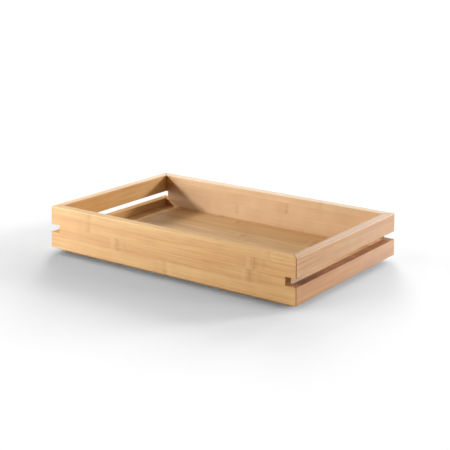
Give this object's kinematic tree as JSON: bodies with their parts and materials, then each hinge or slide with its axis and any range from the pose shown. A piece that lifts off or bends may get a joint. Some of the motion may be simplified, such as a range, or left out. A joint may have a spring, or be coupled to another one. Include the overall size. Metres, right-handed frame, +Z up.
{
  "type": "bread serving tray",
  "caption": "Shallow rectangular bamboo tray with mitred corners, a long grip slot through each short end and an inset stacking plinth, for serving bread.",
  "frame": {"origin": "centre of the underside of the tray, on the surface it stands on", "axes": "+X along the long side, +Z up, front board towards -Y"},
  "size_m": [0.53, 0.325, 0.085],
  "materials": {
    "bamboo_board": "satin lacquered bamboo, strips laid flat along the long side",
    "bamboo_rail": "satin lacquered bamboo, strips laid flat along the short side",
    "bamboo_base": "satin lacquered thin bamboo panel",
    "bamboo_batten": "matt lacquered bamboo batten, a little darker",
    "dowel_beech": "plain fluted hardwood dowel, unfinished"
  },
  "bodies": {
    "root": {"front_board": "bamboo_board", "back_board": "bamboo_board", "left_upper_rail": "bamboo_rail", "left_lower_rail": "bamboo_rail", "right_upper_rail": "bamboo_rail", "right_lower_rail": "bamboo_rail", "base_panel": "bamboo_base", "front_plinth_batten": "bamboo_batten", "back_plinth_batten": "bamboo_batten", "left_plinth_batten": "bamboo_batten", "right_plinth_batten": "bamboo_batten", "corner_dowels_front_left": "dowel_beech", "corner_dowels_front_right": "dowel_beech", "corner_dowels_back_left": "dowel_beech", "corner_dowels_back_right": "dowel_beech"}
  },
  "joints": []
}
